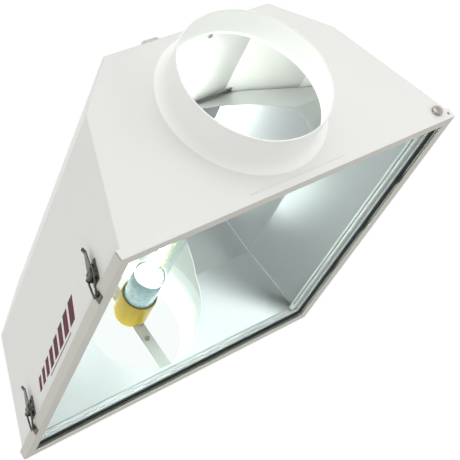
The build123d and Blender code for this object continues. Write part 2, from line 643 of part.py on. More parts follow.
def latch_keeper(y):
    """Ledge on the door's frame, behind and above the bail's bar."""
    bar = on_side(LATCH_PIVOT_U + BAIL_ARM - BAIL_LEG, LATCH_PIVOT_N, y)
    under = bar[2] + BAIL_R + KEEPER_GAP
    ys = (y - KEEPER_W / 2, y + KEEPER_W / 2)
    half = BAIL_BAR_W / 2 - BAIL_R
    out_x = bar[0] + BAIL_R + PART_GAP
    ledge = block((out_x, -RIM_X), (y - half, y + half), (under, under + KEEPER_T))
    return ledge + block((-RIM_X - KEEPER_PLATE_T, -RIM_X), ys, (DOOR_T, under))


def make_latches():
    places = (("front", -LATCH_Y), ("rear", LATCH_Y))
    for name, y in places:
        keep("latch_base_" + name, latch_base(y))
        keep("latch_lever_" + name, latch_lever(y))
        keep("latch_bail_" + name, latch_bail(y))
    reach = LATCH_EAR_GAP + LATCH_EAR_T
    pu, pn = LATCH_PIVOT_U, LATCH_PIVOT_N
    keep("latch_pins", *[rod(on_side(pu, pn, y - reach), on_side(pu, pn, y + reach), LATCH_PIN_R)
                         for name, y in places])
    keep("latch_rivets", *[r for name, y in places for r in latch_rivets(y)])
    keep("latch_keepers", *[latch_keeper(y) for name, y in places])


# ---------------------------------------------------------------- lamp holder
def bracket_screw_y():
    """Place of the strap's roof screw, just in front of the strap."""
    return SOCKET_BACK_Y - SCREW_HEAD_R - 1.0


def make_holder():
    mouth, back = SOCKET_MOUTH_Y, SOCKET_BACK_Y
    floor_y = mouth + SOCKET_BORE_DEPTH
    step_y = mouth + SOCKET_MOUTH_DEPTH
    body = turned_points([(0, floor_y), (SOCKET_BORE_R, floor_y), (SOCKET_BORE_R, step_y),
                          (SOCKET_MOUTH_R, step_y), (SOCKET_MOUTH_R, mouth + 0.6),
                          (SOCKET_MOUTH_R + 0.6, mouth), (SOCKET_R - 0.8, mouth),
                          (SOCKET_R, mouth + 0.8), (SOCKET_R, back - 10),
                          (SOCKET_R - 3, back - 8), (SOCKET_R - 3, back), (0, back)])
    pitch = SOCKET_SCREW_PITCH / 2
    lead_slot = block((-6, 6), (back - 8, back), (DUCT_Z - SOCKET_R, DUCT_Z - SOCKET_R + 9))
    body -= lead_slot
    for dz in (-pitch, pitch):
        body -= rod((0, back - SOCKET_SCREW_DEPTH, DUCT_Z + dz), (0, back + 1, DUCT_Z + dz), SCREW_R)
    keep("socket_body", body)
    r_out, r_in = SOCKET_BORE_R, SOCKET_BORE_R - SLEEVE_T
    keep("socket_shell", turned_points([(r_in, floor_y - SLEEVE_LEN), (r_out, floor_y - SLEEVE_LEN),
                                        (r_out, floor_y), (r_in, floor_y)]))
    contact_front = BASE_FRONT_Y + BASE_LEN + INSULATOR_LEN + CONTACT_H + PART_GAP
    tongue = block((-4, 4), (contact_front, contact_front + 1.0), (DUCT_Z - 14, DUCT_Z + 6))
    tongue += block((-4, 4), (contact_front, floor_y), (DUCT_Z - 14, DUCT_Z - 13))
    keep("socket_contact", tongue)

    wrap_in = HOOD_TOP - 2 * SHEET
    strap_low = FOOT_Z + SHEET
    strap = block((-STRAP_W / 2, STRAP_W / 2), (back, STRAP_Y), (strap_low, wrap_in))
    strap += block((-STRAP_W / 2, STRAP_W / 2), (STRAP_Y - STRAP_FOOT, STRAP_Y),
                   (wrap_in - STRAP_T, wrap_in))
    strap += block((-STRAP_W / 2, STRAP_W / 2), (FLANGE_Y + SHEET + PART_GAP, STRAP_Y),
                   (strap_low, strap_low + STRAP_T))
    for dz in (-pitch, pitch):
        strap -= rod((0, back - 1, DUCT_Z + dz), (0, STRAP_Y + 1, DUCT_Z + dz), SCREW_R + HOLE_FIT)
    earth_z = DUCT_Z - SOCKET_R - EARTH_SCREW_DROP
    strap -= rod((0, back - 1, earth_z), (0, STRAP_Y + 1, earth_z), SCREW_R + HOLE_FIT)
    screw_y = bracket_screw_y()
    strap -= rod((0, screw_y, wrap_in - 5), (0, screw_y, wrap_in + 5), SCREW_R + HOLE_FIT)
    keep("socket_bracket", strap)

    def screw(dz, depth):
        shank = rod((0, back - depth, dz), (0, STRAP_Y, dz), SCREW_R)
        return shank + rod((0, STRAP_Y, dz), (0, STRAP_Y + SCREW_HEAD_H, dz), SCREW_HEAD_R)

    depth = SOCKET_SCREW_DEPTH
    keep("socket_screws", screw(DUCT_Z - pitch, depth), screw(DUCT_Z + pitch, depth))
    keep("earth_screw", screw(earth_z, 4) + rod((0, back - 2, earth_z), (0, back, earth_z), SCREW_HEAD_R))
    top = rod((0, screw_y, wrap_in - STRAP_T - 3), (0, screw_y, HOOD_TOP), SCREW_R)
    top += rod((0, screw_y, HOOD_TOP), (0, screw_y, HOOD_TOP + SCREW_HEAD_H), SCREW_HEAD_R)
    under = wrap_in - STRAP_T
    top += rod((0, screw_y, under - 2.5), (0, screw_y, under), SCREW_HEAD_R)
    keep("bracket_screw", top)


# ---------------------------------------------------------------- lamp
def bulb_section(radius, neck_r, tip_y):
    """Edges of the lamp envelope's outline from the axis at the tip to the neck."""
    z = DUCT_Z
    dome = radius * 0.8
    diag = cos(radians(45))
    shoulder = BULB_SHOULDER_Y
    return [
        ThreePointArc((0, tip_y, z), (radius * diag, tip_y + dome * (1 - diag), z),
                      (radius, tip_y + dome, z)),
        Line((radius, tip_y + dome, z), (radius, shoulder - 2, z)),
        Line((radius, shoulder - 2, z), (neck_r, shoulder + 1, z)),
        Line((neck_r, shoulder + 1, z), (neck_r, BASE_FRONT_Y + 8, z)),
        Line((neck_r, BASE_FRONT_Y + 8, z), (0, BASE_FRONT_Y + 8, z)),
        Line((0, BASE_FRONT_Y + 8, z), (0, tip_y, z)),
    ]


def make_lamp():
    seal_y = BASE_FRONT_Y + 8
    glass = turned(bulb_section(BULB_R, BULB_NECK_R, BULB_TIP_Y))
    hollow = turned(bulb_section(BULB_R - BULB_WALL, BULB_NECK_R - BULB_WALL, BULB_TIP_Y + BULB_WALL))
    keep("lamp_envelope", glass - hollow)

    base_end = BASE_FRONT_Y + BASE_LEN
    r_in = BASE_R - BASE_T
    keep("lamp_base_shell", turned_points([
        (r_in, BASE_FRONT_Y), (BASE_R, BASE_FRONT_Y), (BASE_R, base_end - 6), (14, base_end),
        (13, base_end), (13, base_end - 1.2), (r_in, base_end - 7)]))
    keep("lamp_base_insulator", turned_points([
        (0, base_end - 4), (13, base_end - 4), (13, base_end), (7, base_end + INSULATOR_LEN),
        (0, base_end + INSULATOR_LEN)]))
    tip = base_end + INSULATOR_LEN
    keep("lamp_base_contact", rod((0, tip, DUCT_Z), (0, tip + CONTACT_H, DUCT_Z), CONTACT_R))

    keep("lamp_stem", turned_points([
        (0, STEM_TIP_Y), (4, STEM_TIP_Y), (5, STEM_TIP_Y + 18), (BULB_NECK_R - BULB_WALL, seal_y),
        (0, seal_y)]))
    arc0, arc1 = ARC_MID_Y - ARC_LEN / 2, ARC_MID_Y + ARC_LEN / 2
    keep("arc_tube", turned_points([(0, arc0), (ARC_R, arc0), (ARC_R, arc1), (0, arc1)]))
    for name, edge, end in (("front", arc0, arc0 - ARC_CAP), ("rear", arc1, arc1 + ARC_CAP)):
        keep("arc_tube_cap_" + name, rod((0, edge, DUCT_Z), (0, end, DUCT_Z), ARC_R - 1.5))
    low_y, high_y = arc0 - 6, arc1 + 6
    rod_end = BULB_TIP_Y + BULB_WALL + 14
    stem_y = STEM_TIP_Y + 8
    thin = WIRE_R * 0.7
    frame = rod((FRAME_X, rod_end, DUCT_Z), (FRAME_X, stem_y + 2, DUCT_Z), WIRE_R)
    frame += rod((ARC_R - 1.5, low_y, DUCT_Z), (FRAME_X, low_y, DUCT_Z), thin)
    frame += rod((4.8, stem_y, DUCT_Z), (FRAME_X, stem_y, DUCT_Z), thin)
    lead = rod((-FRAME_X, high_y - 2, DUCT_Z), (-FRAME_X, stem_y + 2, DUCT_Z), WIRE_R)
    lead += rod((-ARC_R + 1.5, high_y, DUCT_Z), (-FRAME_X, high_y, DUCT_Z), thin)
    lead += rod((-4.8, stem_y, DUCT_Z), (-FRAME_X, stem_y, DUCT_Z), thin)
    keep("arc_tube_frame", frame, lead)
    spring_r = BULB_R - BULB_WALL - 3
    ring = Pos(0, rod_end + 2, DUCT_Z) * Rot(90, 0, 0) * Torus(spring_r, WIRE_R * 0.7)
    keep("dome_spring", ring)
    band_y = STEM_TIP_Y - BAND_W
    band_r = BULB_R - BULB_WALL - 1
    keep("getter_band", turned_points([(band_r - 0.6, band_y), (band_r, band_y),
                                       (band_r, band_y + BAND_W), (band_r - 0.6, band_y + BAND_W)]))


# ---------------------------------------------------------------- roof parts
def tab_places():
    """Rivet places of the four hanging tabs."""
    y = END_Y - TAB_SETBACK - TAB_T - TAB_FOOT / 2
    return [(sx * TAB_X, sy * y) for sx in (-1, 1) for sy in (-1, 1)]


def hanging_tab(x, y):
    out = 1 if y > 0 else -1
    face = out * (END_Y - TAB_SETBACK)
    y0, y1 = sorted((face, face - out * TAB_T))
    f0, f1 = sorted((face, face - out * (TAB_T + TAB_FOOT)))
    xs = (x - TAB_W / 2, x + TAB_W / 2)
    tab = block(xs, (f0, f1), (HOOD_TOP, HOOD_TOP + TAB_T))
    upright = block(xs, (y0, y1), (HOOD_TOP, HOOD_TOP + TAB_H))
    tops = [e for e in upright.edges().filter_by(Axis.Y) if (e @ 0.5).Z > HOOD_TOP + 1]
    tab += upright.fillet(5.0, tops)
    hole_z = HOOD_TOP + TAB_H - TAB_HOLE_R - 3.5
    tab -= rod((x, y0 - 1, hole_z), (x, y1 + 1, hole_z), TAB_HOLE_R)
    return tab - rod((x, y, HOOD_TOP - 1), (x, y, HOOD_TOP + 5), RIVET_R + HOLE_FIT)


def tab_rivet(x, y):
    top, under = HOOD_TOP + TAB_T, HOOD_TOP - SHEET
    rivet = rod((x, y, under - 1.2), (x, y, top + RIVET_HEAD_H), RIVET_R)
    rivet += rod((x, y, top), (x, y, top + RIVET_HEAD_H), RIVET_HEAD_R)
    return rivet + rod((x, y, under - 1.2), (x, y, under), RIVET_R + 0.9)


def hexagon_z(x, y, z0, z1, radius):
    points = [(x + radius * cos(radians(60 * i)), y + radius * sin(radians(60 * i)), z0) for i in range(6)]
    return prism(points, (0, 0, z1 - z0))


def make_roof_parts():
    keep("hanging_tabs", *[hanging_tab(x, y) for x, y in tab_places()])
    keep("tab_rivets", *[tab_rivet(x, y) for x, y in tab_places()])
    under = HOOD_TOP - SHEET
    low = under - GLAND_NUT_H
    gland = rod((0, GLAND_Y, low), (0, GLAND_Y, HOOD_TOP), GLAND_R)
    gland += hexagon_z(0, GLAND_Y, HOOD_TOP, HOOD_TOP + GLAND_H * 0.4, GLAND_HEX_R)
    gland += rod((0, GLAND_Y, HOOD_TOP), (0, GLAND_Y, HOOD_TOP + GLAND_H), GLAND_R + 1.5)
    gland -= rod((0, GLAND_Y, low - 1), (0, GLAND_Y, HOOD_TOP + GLAND_H + 1), GLAND_BORE_R)
    keep("lead_gland", gland)
    nut = hexagon_z(0, GLAND_Y, low, under, GLAND_HEX_R)
    keep("gland_nut", nut - rod((0, GLAND_Y, low - 1), (0, GLAND_Y, under + 1), GLAND_R))


make_hood()
make_reflector()
make_door()
make_hinge()
make_latches()
make_holder()
make_lamp()
make_roof_parts()

os.makedirs("parts", exist_ok=True)
for node, solids in NODES.items():
    shape = solids[0] if len(solids) == 1 else Compound(solids)
    export_step(shape, os.path.join("parts", node + ".step"))
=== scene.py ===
"""Looks of the air-cooled grow lamp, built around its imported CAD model."""
import json
from math import cos, pi, sin, tau

import bpy
from mathutils import Matrix, Vector


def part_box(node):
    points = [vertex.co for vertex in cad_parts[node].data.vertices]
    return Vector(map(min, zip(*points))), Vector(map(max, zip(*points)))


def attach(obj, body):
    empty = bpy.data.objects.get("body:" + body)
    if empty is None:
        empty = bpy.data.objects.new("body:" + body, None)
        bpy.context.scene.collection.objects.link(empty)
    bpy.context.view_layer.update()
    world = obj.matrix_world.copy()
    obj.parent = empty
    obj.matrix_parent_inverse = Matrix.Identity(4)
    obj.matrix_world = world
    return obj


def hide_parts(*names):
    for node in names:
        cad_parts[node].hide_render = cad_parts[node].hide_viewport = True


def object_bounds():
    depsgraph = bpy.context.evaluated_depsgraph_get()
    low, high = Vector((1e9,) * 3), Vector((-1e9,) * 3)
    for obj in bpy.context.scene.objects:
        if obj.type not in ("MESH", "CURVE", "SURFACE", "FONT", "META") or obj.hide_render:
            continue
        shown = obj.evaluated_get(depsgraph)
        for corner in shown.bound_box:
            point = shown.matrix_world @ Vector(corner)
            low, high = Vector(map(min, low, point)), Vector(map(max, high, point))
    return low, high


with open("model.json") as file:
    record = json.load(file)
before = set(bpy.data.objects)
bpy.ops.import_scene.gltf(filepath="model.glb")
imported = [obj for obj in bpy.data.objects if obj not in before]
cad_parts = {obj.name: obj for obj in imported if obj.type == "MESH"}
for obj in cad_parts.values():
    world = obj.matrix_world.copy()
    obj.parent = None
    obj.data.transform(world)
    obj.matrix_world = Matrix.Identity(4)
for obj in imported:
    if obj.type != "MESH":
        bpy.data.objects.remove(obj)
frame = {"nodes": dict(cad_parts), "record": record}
CAD_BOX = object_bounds()
NODES = frame["nodes"]
MM = 0.001

# light
FLOOR_Z = -1.6
DIM_SIDE = 0.72                 # strength of the surroundings towards -X, against 1.0 elsewhere
ARC_LIGHTS = 4                  # soft lights that stand in for the arc, along the arc tube
ARC_POWER = 1.5                 # watts, all of them together
FRONT_SPILL = 0.72              # into the space over the reflector's front end
REAR_SPILL = 0.45               # into the space behind its rear end
DUCT_LIGHT = 0.26               # the bright rear duct, which the reflector mirrors
COOL, GREEN = (0.90, 1.0, 1.0), (0.93, 1.0, 0.96)

# reflector
REFL_FOLD_IN = (0.037, 0.042)   # its fold, inside its foot, across and along
REFL_FOLD_Z = 0.122
REFL_TOP_IN = (0.122, 0.160)    # its top, inside its foot
CREASE_R = 1.2 * MM
CREASE_IN = (1.2 * MM, 1.2 * MM, 1.0 * MM)
SKIRT_INSET = 1.4 * MM
SKIRT_DROP = 5.4 * MM
SKIRT_TURN = 1.4 * MM           # how far its top edge turns in
SKIRT_BEND = 0.5 * MM

# rim and gasket
GASKET_W = 10.0 * MM
GASKET_LIP_H = 1.8 * MM         # black lip over the glass; pale foam fills the rest
GASKET_INSET = 0.3 * MM
GASKET_NOSE = 0.6 * MM          # its rounded inner edge
GASKET_NOSE_STEPS = 6
FOAM_OUTER, FOAM_INNER = 0.6 * MM, 0.7 * MM
LIP_X = 20.0 * MM               # the hood's side lips, in from the foot
# the grey strip along each side lip is painted shade, for the groove there
GROOVE_SHADE_HALF = 0.236
GROOVE_SHADE_LIFT = 0.35 * MM
GROOVE_SHADE_Z = (2.6 * MM, 5.2 * MM)
GROOVE_SHADE_BEND = 0.3 * MM
SIDE_FOOT = (0.260, 0.014)      # half width and height at the foot of the sloping side
SIDE_FOLD = (0.196, 0.183)

# graphic on the side
MARK_LIFT, MARK_SINK = 0.18 * MM, 0.02 * MM
MARK_U = 20.0 * MM              # lower edge of the bars, up the slope from the foot
MARK_HEIGHT = 30.0 * MM
MARK_REAR_Y = 0.126
MARK_BARS = 8
MARK_BAR_W = 15.0 * MM
MARK_BAR_GAP = 9.0 * MM
MARK_SLANT = -0.25
MARK_LINE_ENDS = (34.0 * MM, 60.0 * MM)
MARK_LINE_U = (6.0 * MM, 4.6 * MM)      # the thin line's edges, below the bars

# bolts
BOLT_X, BOLT_Z = 0.245, 0.016
BOLT_FACE_R = 7.0 * MM
BOLT_DOME, BOLT_LIFT = 1.3 * MM, 0.05 * MM
BOLT_TURN = 0.35
BOLT_ROWS, BOLT_STEPS = 22, 96
CROSS_W, CROSS_R, CROSS_DEPTH = 2.0 * MM, 3.6 * MM, 1.2 * MM
CROSS_RAMP = 0.9 * MM

# lamp and holder
SKIN = 0.12 * MM                # a printed or dark face's lift off the glass or ceramic
NECK_BAND = 57.0 * MM           # printed band, out of the holder's mouth
NECK_BAND_IN = 2.0 * MM         # how far it runs into the holder
RING_STEPS = 10
NECK_RING = (1.6 * MM, 0.7 * MM)        # half length and half thickness
MOUTH_RING = (0.5 * MM, 0.4 * MM)
SHIELD_R = 21.8 * MM
SHIELD_BORE = 0.2 * MM
LOOP_R, LOOP_OUT, LOOPS, LOOP_POINTS = 12.0 * MM, 20.0 * MM, 5, 240
LOOP_WIRE_R, COIL_WIRE_R = 0.45 * MM, 0.5 * MM
COIL_R, COIL_TURNS, COIL_STEPS = 12.5 * MM, 9, 24
COIL_PAST_ARC = 4.0 * MM
NOTCH_TURN, NOTCH_SPAN, NOTCH_LEN = -1.1, 0.75, 5.0 * MM
NOTCH_STEPS = 12
OBJECT_SLOTS = {p["node"]: p["material_slot"] for p in frame["record"]["subparts"]}


# ---------------------------------------------------------------- camera, floor and light
def make_camera():
    """Low three-quarter view up into the hood, rolled as the hood is tipped."""
    data = bpy.data.cameras.new("camera")
    data.sensor_width = 36.0
    data.lens = 101.1
    data.clip_start, data.clip_end = 0.05, 50.0
    cam = bpy.data.objects.new("camera", data)
    turn = Matrix(((0.7662, 0.3385, -0.5462), (-0.3187, -0.5379, -0.7804), (-0.5581, 0.7720, -0.3042)))
    cam.matrix_world = Matrix.Translation((-0.9197, -1.3984, -0.4594)) @ turn.to_4x4()
    bpy.context.scene.collection.objects.link(cam)
    bpy.context.scene.camera = cam


def area_light(name, place, target, size, power, colour=(1, 1, 1), mirrored=True):
    """A disc that shines from place to target, and shows in mirroring surfaces if mirrored."""
    data = bpy.data.lights.new(name, "AREA")
    data.shape, data.size, data.energy, data.color = "DISK", size, power, colour
    lamp = bpy.data.objects.new(name, data)
    lamp.location = place
    lamp.rotation_euler = (Vector(target) - Vector(place)).to_track_quat("-Z", "Y").to_euler()
    lamp.visible_camera = False
    lamp.visible_glossy = mirrored
    bpy.context.scene.collection.objects.link(lamp)
    return data


def make_stage():
    """White surroundings, a pale floor far below the lowest camera, and soft lights."""
    world = bpy.data.worlds.new("studio")
    bpy.context.scene.world = world
    bpy.context.scene.view_settings.view_transform = "Standard"
    world.use_nodes = True
    back = world.node_tree.nodes["Background"]
    back.inputs["Color"].default_value = (1.0, 1.0, 1.0, 1.0)
    nodes, links = world.node_tree.nodes, world.node_tree.links
    way, split, ramp = (nodes.new("ShaderNode" + k) for k in ("TexCoord", "SeparateXYZ", "MapRange"))
    links.new(way.outputs["Generated"], split.inputs[0])
    links.new(split.outputs["X"], ramp.inputs["Value"])
    for socket, value in zip(("From Min", "From Max", "To Min", "To Max"), (-1.0, -0.1, DIM_SIDE, 1.0)):
        ramp.inputs[socket].default_value = value
    links.new(ramp.outputs[0], back.inputs["Strength"])
    bpy.ops.mesh.primitive_plane_add(size=30.0, location=(0, 0, FLOOR_Z))
    floor = bpy.context.object
    floor.name = "floor"
    mat = Shader("floor_paint", (0.62, 0.62, 0.615), rough=0.7)
    mat.tint((0.58, 0.58, 0.575), mat.noise(0.6, detail=3), 0.4)
    mat.bump(mat.noise(40.0), 0.1, 0.001)
    floor.data.materials.append(mat.material)
    area_light("key", (0.5, -2.4, 0.9), (0, 0, 0.1), 1.6, 7.0)
    area_light("fill", (2.4, -0.6, -0.6), (0, 0, 0.1), 1.8, 2.0)
    low_box = area_light("low_box", (0.78, -0.92, -0.50), (0.05, 0.24, 0.05), 0.70, 1.9)
    low_box.shape, low_box.size_y = "RECTANGLE", 0.42
    area_light("front_low", (-1.3, -0.8, -1.5), (0, -0.3, 0.12), 0.8, 4.0, mirrored=False)
    make_lamp_light()


def ball_light(name, place, radius, power, colour):
    """A soft ball of light that doesn't show itself, directly or mirrored."""
    data = bpy.data.lights.new(name, "POINT")
    data.shadow_soft_size, data.energy, data.color = radius, power, colour
    lamp = bpy.data.objects.new(name, data)
    lamp.location = place
    lamp.visible_camera = lamp.visible_glossy = False
    bpy.context.scene.collection.objects.link(lamp)


def make_lamp_light():
    """The burning lamp lights the hood from inside; spill reaches the spaces outside the reflector."""
    low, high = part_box("arc_tube")
    axis_z = (low[2] + high[2]) / 2
    for i in range(ARC_LIGHTS):
        y = low[1] + (high[1] - low[1]) * (i + 0.5) / ARC_LIGHTS
        ball_light(f"arc_{i}", (0, y, axis_z), 0.012, ARC_POWER / ARC_LIGHTS, COOL)
    ball_light("spill_front", (0, -0.15, axis_z + 0.085), 0.03, FRONT_SPILL, GREEN)
    behind = CAD_BOX[1][1] + 0.012
    area_light("duct_light", (0, behind, 0.13), (0, 0, 0.13), 0.19, DUCT_LIGHT, COOL)
    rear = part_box("socket_body")[1][1] + 0.008
    area_light("spill_rear", (0, rear, axis_z), (0, rear + 1.0, axis_z), 0.12, REAR_SPILL, GREEN)


# ---------------------------------------------------------------- materials
class Shader:
    """A principled material and the few procedural layers that the lamp's surfaces use."""

    def __init__(self, name, colour, metal=0.0, rough=0.4):
        self.material = bpy.data.materials.new(name)
        self.material.use_nodes = True
        self.tree = self.material.node_tree
        self.tree.nodes.clear()
        self.out = self.node("OutputMaterial")
        self.bsdf = self.node("BsdfPrincipled")
        self.link(self.bsdf.outputs[0], self.out.inputs[0])
        self.bsdf.inputs["Base Color"].default_value = (*colour, 1.0)
        self.bsdf.inputs["Metallic"].default_value = metal
        self.bsdf.inputs["Roughness"].default_value = rough
        self.space = self.node("TexCoord").outputs["Object"]
        self.colour = None
        self.normal = None

    def node(self, kind):
        return self.tree.nodes.new("ShaderNode" + kind)

    def link(self, a, b):
        self.tree.links.new(a, b)

    def noise(self, scale, detail=4.0):
        tex = self.node("TexNoise")
        tex.inputs["Scale"].default_value = scale
        tex.inputs["Detail"].default_value = detail
        tex.inputs["Roughness"].default_value = 0.55
        self.link(self.space, tex.inputs["Vector"])
        return tex.outputs[0]

    def ramp(self, fac, low, high, a=0.0, b=1.0):
        """fac from low..high spread over a..b."""
        node = self.node("MapRange")
        node.inputs["From Min"].default_value = low
        node.inputs["From Max"].default_value = high
        node.inputs["To Min"].default_value = a
        node.inputs["To Max"].default_value = b
        self.link(fac, node.inputs["Value"])
        return node.outputs[0]

    def tint(self, colour, fac, amount=1.0):
        """Mix another colour in where fac is high."""
        mix = self.node("Mix")
        mix.data_type = "RGBA"
        if self.colour is None:
            mix.inputs["A"].default_value = self.bsdf.inputs["Base Color"].default_value
        else:
            self.link(self.colour, mix.inputs["A"])
        mix.inputs["B"].default_value = (*colour, 1.0)
        self.link(self.ramp(fac, 0.0, 1.0, 0.0, amount), mix.inputs["Factor"])
        self.colour = mix.outputs["Result"]
        self.link(self.colour, self.bsdf.inputs["Base Color"])

    def roughen(self, fac, low, high):
        self.link(self.ramp(fac, 0.15, 0.85, low, high), self.bsdf.inputs["Roughness"])

    def bump(self, height, strength, distance):
        node = self.node("Bump")
        node.inputs["Strength"].default_value = strength
        node.inputs["Distance"].default_value = distance
        self.link(height, node.inputs["Height"])
        if self.normal is not None:
            self.link(self.normal, node.inputs["Normal"])
        self.normal = node.outputs[0]
        self.link(self.normal, self.bsdf.inputs["Normal"])

    def soft_edges(self, radius):
        bevel = self.node("Bevel")
        bevel.samples = 4
        bevel.inputs["Radius"].default_value = radius
        self.normal = bevel.outputs[0]
        self.link(self.normal, self.bsdf.inputs["Normal"])

    def edge_mask(self, radius, gain):
        """High on outside and inside edges."""
        bevel, flat, dot = self.node("Bevel"), self.node("NewGeometry"), self.node("VectorMath")
        bevel.samples = 4
        bevel.inputs["Radius"].default_value = radius
        dot.operation = "DOT_PRODUCT"
        self.link(bevel.outputs[0], dot.inputs[0])
        self.link(flat.outputs["Normal"], dot.inputs[1])
        return self.ramp(dot.outputs["Value"], 1.0, 1.0 - 1.0 / gain)

    def both(self, a, b):
        node = self.node("Math")
        node.operation = "MULTIPLY"
        self.link(a, node.inputs[0])
        self.link(b, node.inputs[1])
        return node.outputs[0]

    def see_through(self, gloss, tint):
        """Thin clear glass: light passes straight on, and gloss rises towards the edge."""
        clear, mix, facing, steep = (self.node(k) for k in
                                     ("BsdfTransparent", "MixShader", "LayerWeight", "Math"))
        clear.inputs["Color"].default_value = (*tint, 1.0)
        facing.inputs["Blend"].default_value = 0.5
        steep.operation = "POWER"
        steep.inputs[1].default_value = 4.0
        self.link(facing.outputs["Facing"], steep.inputs[0])
        self.link(self.ramp(steep.outputs[0], 0.0, 1.0, 0.02, gloss), mix.inputs[0])
        self.link(clear.outputs[0], mix.inputs[1])
        self.link(self.bsdf.outputs[0], mix.inputs[2])
        self.link(mix.outputs[0], self.out.inputs[0])


def powder_coat(name, colour, shade, wave=2.0 * MM, edge=0.5 * MM):
    """Powder-coated sheet: fine orange peel, slight waves, softened and scuffed edges."""
    mat = Shader(name, colour, rough=0.42)
    mat.soft_edges(edge)
    mat.bump(mat.noise(420.0, detail=2.0), 0.12, 0.2 * MM)
    mat.bump(mat.noise(7.0, detail=2.0), 0.10, wave)
    mat.tint(shade, mat.ramp(mat.noise(5.0), 0.35, 0.75), 0.35)
    scuff = mat.both(mat.edge_mask(edge, 3.0), mat.ramp(mat.noise(90.0), 0.45, 0.7))
    mat.tint((0.45, 0.44, 0.41), scuff, 0.35)
    mat.roughen(mat.noise(30.0), 0.36, 0.50)
    return mat.material


def bright_sheet(name):
    """Specular rolled aluminium with slight waves and cloudy haze."""
    mat = Shader(name, (0.71, 0.722, 0.735), metal=1.0)
    mat.bump(mat.noise(5.0, detail=0.5), 0.03, 3.0 * MM)
    mat.bump(mat.noise(300.0, detail=2.0), 0.02, 0.1 * MM)
    mat.tint((0.63, 0.645, 0.655), mat.ramp(mat.noise(9.0, detail=1.0), 0.1, 0.9), 0.6)
    mat.roughen(mat.noise(9.0, detail=1.0), 0.285, 0.36)
    return mat.material


def worn_metal(name, colour, dark, rough=0.35):
    """Plated steel: cloudy colour, fine scratches and rubbed edges."""
    mat = Shader(name, colour, metal=1.0, rough=rough)
    mat.soft_edges(0.3 * MM)
    mat.bump(mat.noise(900.0, detail=3.0), 0.15, 0.1 * MM)
    mat.tint(dark, mat.ramp(mat.noise(160.0), 0.35, 0.7), 0.7)
    light = tuple(min(1.0, c * 2.2) for c in colour)
    rubbed = mat.both(mat.edge_mask(0.4 * MM, 3.0), mat.ramp(mat.noise(300.0), 0.3, 0.6))
    mat.tint(light, rubbed, 0.6)
    mat.roughen(mat.noise(240.0), rough - 0.08, rough + 0.12)
    return mat.material


def rubber(name, colour):
    """Dull rubber, foam or plastic with a fine grain."""
    mat = Shader(name, colour, rough=0.6)
    mat.bsdf.inputs["Specular IOR Level"].default_value = 0.25
    mat.bump(mat.noise(1500.0, detail=2.0), 0.2, 0.1 * MM)
    mat.tint(tuple(0.6 * c for c in colour), mat.noise(60.0), 0.5)
    mat.roughen(mat.noise(80.0), 0.45, 0.7)
    return mat.material


def glazed(name, colour, dark, rough=0.18):
    """Glazed ceramic with pooled colour and pinholes."""
    mat = Shader(name, colour, rough=rough)
    mat.bsdf.inputs["Specular IOR Level"].default_value = 0.08
    mat.soft_edges(0.8 * MM)
    mat.bump(mat.noise(90.0, detail=2.0), 0.12, 0.4 * MM)
    mat.tint(dark, mat.ramp(mat.noise(45.0), 0.45, 0.8), 0.5)
    mat.tint((0.1, 0.08, 0.03), mat.ramp(mat.noise(1100.0, detail=1.0), 0.72, 0.78), 0.6)
    mat.roughen(mat.noise(60.0), rough - 0.05, rough + 0.1)
    return mat.material


def clear_glass(name, gloss, tint, haze):
    """Thin clear glass with faint wiping haze in its gloss."""
    mat = Shader(name, (1.0, 1.0, 1.0), metal=1.0, rough=0.04)
    mat.roughen(mat.noise(12.0), 0.02, haze)
    mat.see_through(gloss, tint)
    return mat.material


def crease_highlight_metal(name):
    """Bright strip where two reflector sheets meet: partly the real bend catching light, partly a painted
    highlight in its brighter colour.
    """
    # base colour brighter than the reflector sheet's own: painted highlight along the bends
    mat = Shader(name, (0.93, 0.95, 0.96), metal=1.0, rough=0.5)
    mat.bump(mat.noise(600.0), 0.2, 0.1 * MM)
    mat.tint((0.66, 0.70, 0.68), mat.ramp(mat.noise(60.0), 0.35, 0.7), 0.6)
    mat.roughen(mat.noise(200.0), 0.34, 0.5)
    return mat.material


def printed_glass(name):
    """Pale blue etched band around the lamp's neck, with faint blotches of worn print."""
    mat = Shader(name, (0.44, 0.64, 0.70), rough=0.5)
    mat.bsdf.inputs["Coat Weight"].default_value = 0.4
    mat.tint((0.17, 0.29, 0.36), mat.ramp(mat.noise(190.0, detail=3.0), 0.52, 0.66), 0.55)
    mat.tint((0.50, 0.62, 0.62), mat.ramp(mat.noise(60.0), 0.45, 0.7), 0.5)
    mat.bump(mat.noise(900.0), 0.1, 0.05 * MM)
    mat.roughen(mat.noise(120.0), 0.4, 0.6)
    return mat.material


def vinyl(name, colour):
    """Dark red sign vinyl, a little faded in patches."""
    mat = Shader(name, colour, rough=0.5)
    mat.bsdf.inputs["Specular IOR Level"].default_value = 0.15
    mat.tint((0.16, 0.03, 0.045), mat.ramp(mat.noise(70.0), 0.45, 0.75), 0.5)
    mat.bump(mat.noise(500.0), 0.15, 0.05 * MM)
    mat.roughen(mat.noise(90.0), 0.45, 0.6)
    return mat.material


def glowing(name, colour, power):
    """Hot translucent ceramic that glows, a little unevenly from place to place."""
    mat = Shader(name, (0.9, 0.92, 0.92), rough=0.4)
    mat.bsdf.inputs["Emission Color"].default_value = (*colour, 1.0)
    glow = mat.ramp(mat.noise(60.0), 0.3, 0.7, power * 0.85, power * 1.15)
    mat.link(glow, mat.bsdf.inputs["Emission Strength"])
    mat.bump(mat.noise(500.0), 0.1, 0.1 * MM)
    return mat.material


